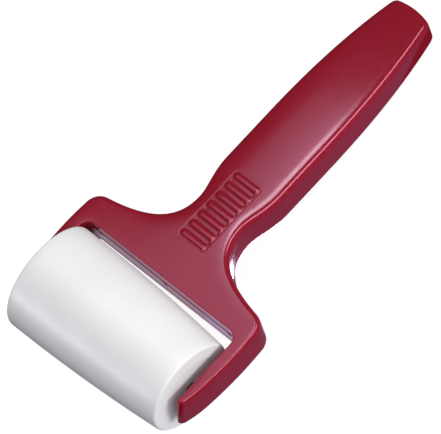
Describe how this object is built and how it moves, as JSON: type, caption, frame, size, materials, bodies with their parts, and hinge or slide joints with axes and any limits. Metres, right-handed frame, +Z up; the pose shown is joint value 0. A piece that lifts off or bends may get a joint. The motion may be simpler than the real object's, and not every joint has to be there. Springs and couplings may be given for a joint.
{
  "type": "lint roller",
  "caption": "Hand-held lint roller: a glossy two-shell fork handle with a ribbed thumb panel carries a wide white adhesive roll that turns freely on stub pivots.",
  "frame": {"origin": "on the surface the object rests on, under the middle of its bounding box", "axes": "+X along the roll's axis, +Y from the roll towards the handle's tail, +Z up; the handle leans 5 degrees down towards the tail, as it lies at rest"},
  "size_m": [0.1212, 0.2572, 0.0596],
  "materials": {
    "red_plastic": "polished dark red moulding",
    "pivot_plastic": "black acetal, smooth",
    "screw_steel": "zinc-plated",
    "white_plastic": "moulded white, satin",
    "core_board": "raw spiral-wound board",
    "wound_paper": "cut edges of wound paper",
    "adhesive_paper": "smooth coated paper"
  },
  "bodies": {
    "handle": {"upper_shell": "red_plastic", "lower_shell": "red_plastic", "left_pivot": "pivot_plastic", "right_pivot": "pivot_plastic", "left_shoulder_screw": "screw_steel", "right_shoulder_screw": "screw_steel", "neck_screw": "screw_steel", "tail_screw": "screw_steel"},
    "roller": {"drum": "white_plastic", "left_hub": "white_plastic", "right_hub": "white_plastic", "cardboard_core": "core_board", "adhesive_roll": "wound_paper", "outer_sheet": "adhesive_paper"}
  },
  "joints": [
    {"name": "roller_spin", "type": "hinge", "parent": "handle", "child": "roller", "pos_m": [0, -0.09891, 0.0297], "axis": [1, 0, 0], "continuous": true}
  ]
}
